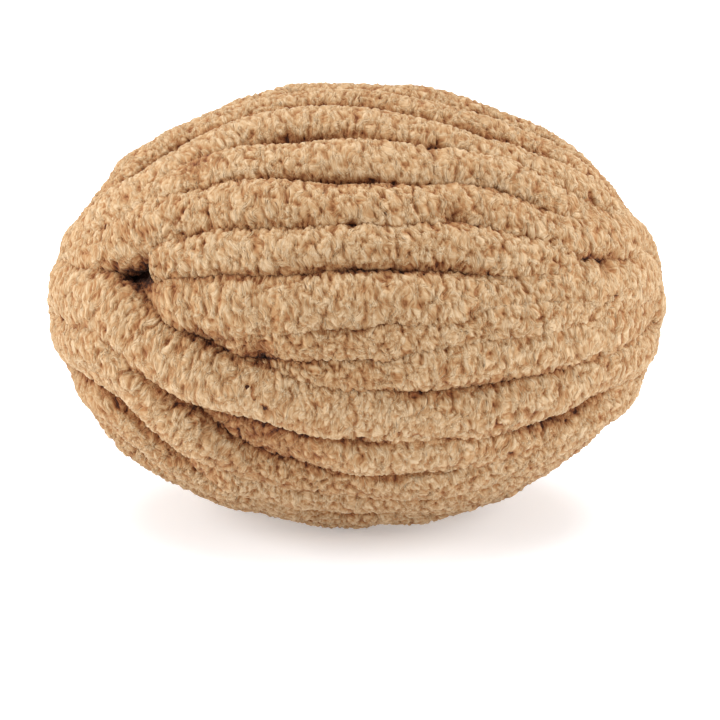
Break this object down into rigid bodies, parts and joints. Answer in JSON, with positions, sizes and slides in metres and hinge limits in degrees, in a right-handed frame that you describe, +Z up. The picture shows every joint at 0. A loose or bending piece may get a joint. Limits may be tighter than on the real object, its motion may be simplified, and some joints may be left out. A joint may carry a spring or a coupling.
{
  "type": "ball of thick chenille yarn",
  "caption": "Egg-shaped ball of thick, fluffy camel yarn, wound lengthwise from end to end, lying on its side.",
  "frame": {"origin": "middle of the ball's box, on the surface that it rests on", "axes": "+Z up, +X along the ball from end to end, -Y towards the side that is its front"},
  "size_m": [0.2453, 0.1784, 0.1736],
  "materials": {
    "yarn": "curly cut-pile chenille, matt"
  },
  "bodies": {
    "root": {"yarn_ball": "yarn"}
  },
  "joints": []
}
